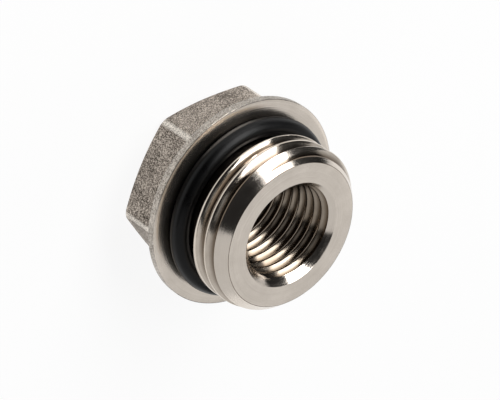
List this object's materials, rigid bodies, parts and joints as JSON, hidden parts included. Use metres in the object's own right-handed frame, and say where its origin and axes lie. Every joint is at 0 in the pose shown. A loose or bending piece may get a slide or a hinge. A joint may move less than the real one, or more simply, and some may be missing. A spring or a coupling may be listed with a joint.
{
  "type": "reducing bushing",
  "caption": "Hexagon-headed reducing bushing: male parallel pipe thread with a captive seal ring at its flange outside, smaller female pipe thread right through.",
  "frame": {"origin": "centre of the hexagon head's end face, which the part stands on", "axes": "+Z along the common axis of both threads, from the hexagon head towards the male end; +X through one corner of the hexagon"},
  "size_m": [0.0264, 0.0262, 0.0164],
  "materials": {
    "nickel_plate": "brass, nickel-plated: blasted on the forged head and rim, turned satin on the faces, bright on the threads",
    "seal_rubber": "satin black"
  },
  "bodies": {
    "root": {"bushing_body": "nickel_plate", "seal_ring": "seal_rubber"}
  },
  "joints": []
}
